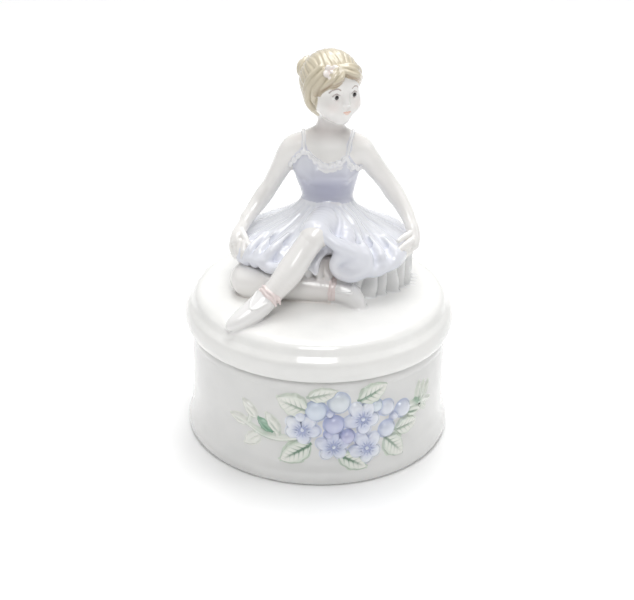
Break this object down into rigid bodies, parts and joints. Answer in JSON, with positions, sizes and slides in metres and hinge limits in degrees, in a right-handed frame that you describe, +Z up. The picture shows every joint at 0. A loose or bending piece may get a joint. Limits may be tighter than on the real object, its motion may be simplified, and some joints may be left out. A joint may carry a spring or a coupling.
{
  "type": "musical jewellery box",
  "caption": "Round glazed porcelain musical jewellery box with lift-off domed lid carrying a seated ballerina, relief flower spray, wind-up comb movement below.",
  "frame": {"origin": "centre of the foot ring's resting face", "axes": "+Z up through the ballerina's head, -Y towards the front with the flower spray, +X to the right seen from the front"},
  "size_m": [0.108, 0.108, 0.1594],
  "materials": {
    "porcelain": "glossy warm white glaze",
    "blossom": "glossy glaze, pale blue and violet",
    "leaf": "glossy glaze, white washed with green",
    "bodice": "glossy glaze, pastel blue violet",
    "tutu": "glossy glaze, pale blue in the pleats",
    "skin": "glossy glaze over pale blush",
    "hair": "glossy glaze, beige blond",
    "ornament": "glossy glaze, pinkish white",
    "stocking": "glossy glaze, warm white",
    "slipper": "glossy glaze with pink ribbons",
    "plate": "satin moulded",
    "sealant": "silicone bead",
    "screws": "zinc plated",
    "bedplate": "die cast zinc",
    "steel_sheet": "nickel plated sheet",
    "spring_steel": "blued spring steel",
    "comb_steel": "ground steel",
    "key": "brass plated",
    "gear_plastic": "natural acetal",
    "brass": "turned brass",
    "fan_plastic": "black moulding",
    "pin_wire": "polished wire"
  },
  "bodies": {
    "base": {"base_bowl": "porcelain", "blossom_relief": "blossom", "leaf_relief": "leaf", "stem_relief": "leaf", "bottom_plate": "plate", "plate_sealant": "sealant", "plate_screws": "screws", "movement_bedplate": "bedplate", "spring_barrel": "steel_sheet", "mainspring": "spring_steel", "music_comb": "comb_steel", "comb_screws": "screws", "governor_frame": "bedplate", "governor_screw": "screws", "stop_pin_guide": "plate", "stop_lever_post": "bedplate"},
    "lid": {"lid": "porcelain", "ballerina_seat": "porcelain", "ballerina_torso": "bodice", "ballerina_head": "skin", "ballerina_hair": "hair", "hair_bun": "hair", "hair_flower": "ornament", "tutu_skirt": "tutu", "tutu_petticoat": "tutu", "right_arm": "skin", "left_arm": "skin", "right_hand": "skin", "left_hand": "skin", "left_leg": "stocking", "right_leg": "stocking", "left_slipper": "slipper", "right_slipper": "slipper"},
    "winding_key": {"winding_key": "key", "winding_arbor": "key"},
    "great_wheel": {"great_wheel": "gear_plastic"},
    "music_drum": {"music_drum": "brass", "drum_arbor": "spring_steel", "drum_pinion": "gear_plastic", "drum_gear": "gear_plastic"},
    "governor_wheel": {"governor_wheel": "gear_plastic", "governor_pinion": "gear_plastic", "governor_arbor": "spring_steel"},
    "governor_worm": {"governor_worm": "spring_steel", "air_brake": "fan_plastic"},
    "stop_pin": {"stop_pin": "pin_wire"},
    "stop_lever": {"stop_lever": "steel_sheet"}
  },
  "joints": [
    {"name": "lid_lift", "type": "slide", "parent": "base", "child": "lid", "axis": [0, 0, 1], "range_m": [0, 0.06]},
    {"name": "winding_key_turn", "type": "hinge", "parent": "base", "child": "winding_key", "pos_m": [-0.008, 0.004, 0.005], "axis": [0, 0, 1], "continuous": true},
    {"name": "drum_turn", "type": "hinge", "parent": "base", "child": "music_drum", "pos_m": [0.0157, 0.004, 0.02315], "axis": [1, 0, 0], "continuous": true},
    {"name": "great_wheel_turn", "type": "hinge", "parent": "base", "child": "great_wheel", "pos_m": [-0.008, 0.004, 0.0195], "axis": [0, 0, 1], "continuous": true},
    {"name": "governor_wheel_turn", "type": "hinge", "parent": "base", "child": "governor_wheel", "pos_m": [0.0273, 0.01212, 0.02315], "axis": [1, 0, 0], "continuous": true},
    {"name": "fan_turn", "type": "hinge", "parent": "base", "child": "governor_worm", "pos_m": [0.0273, 0.01668, 0.0163], "axis": [0, 0, 1], "continuous": true},
    {"name": "stop_pin_slide", "type": "slide", "parent": "base", "child": "stop_pin", "axis": [0, 0, 1], "range_m": [0, 0.002]},
    {"name": "stop_lever_pivot", "type": "hinge", "parent": "base", "child": "stop_lever", "pos_m": [0.03379, 0.02065, 0.0237], "axis": [0.5215, -0.8533, 0], "range_deg": [0, 18]}
  ],
  "couplings": [
    {"joint": "great_wheel_turn", "follows": "drum_turn", "ratio": 0.22222},
    {"joint": "governor_wheel_turn", "follows": "drum_turn", "ratio": -3},
    {"joint": "fan_turn", "follows": "drum_turn", "ratio": 54},
    {"joint": "stop_pin_slide", "follows": "lid_lift", "ratio": 0.033332},
    {"joint": "stop_lever_pivot", "follows": "lid_lift", "rad_per_m": 5.235}
  ]
}
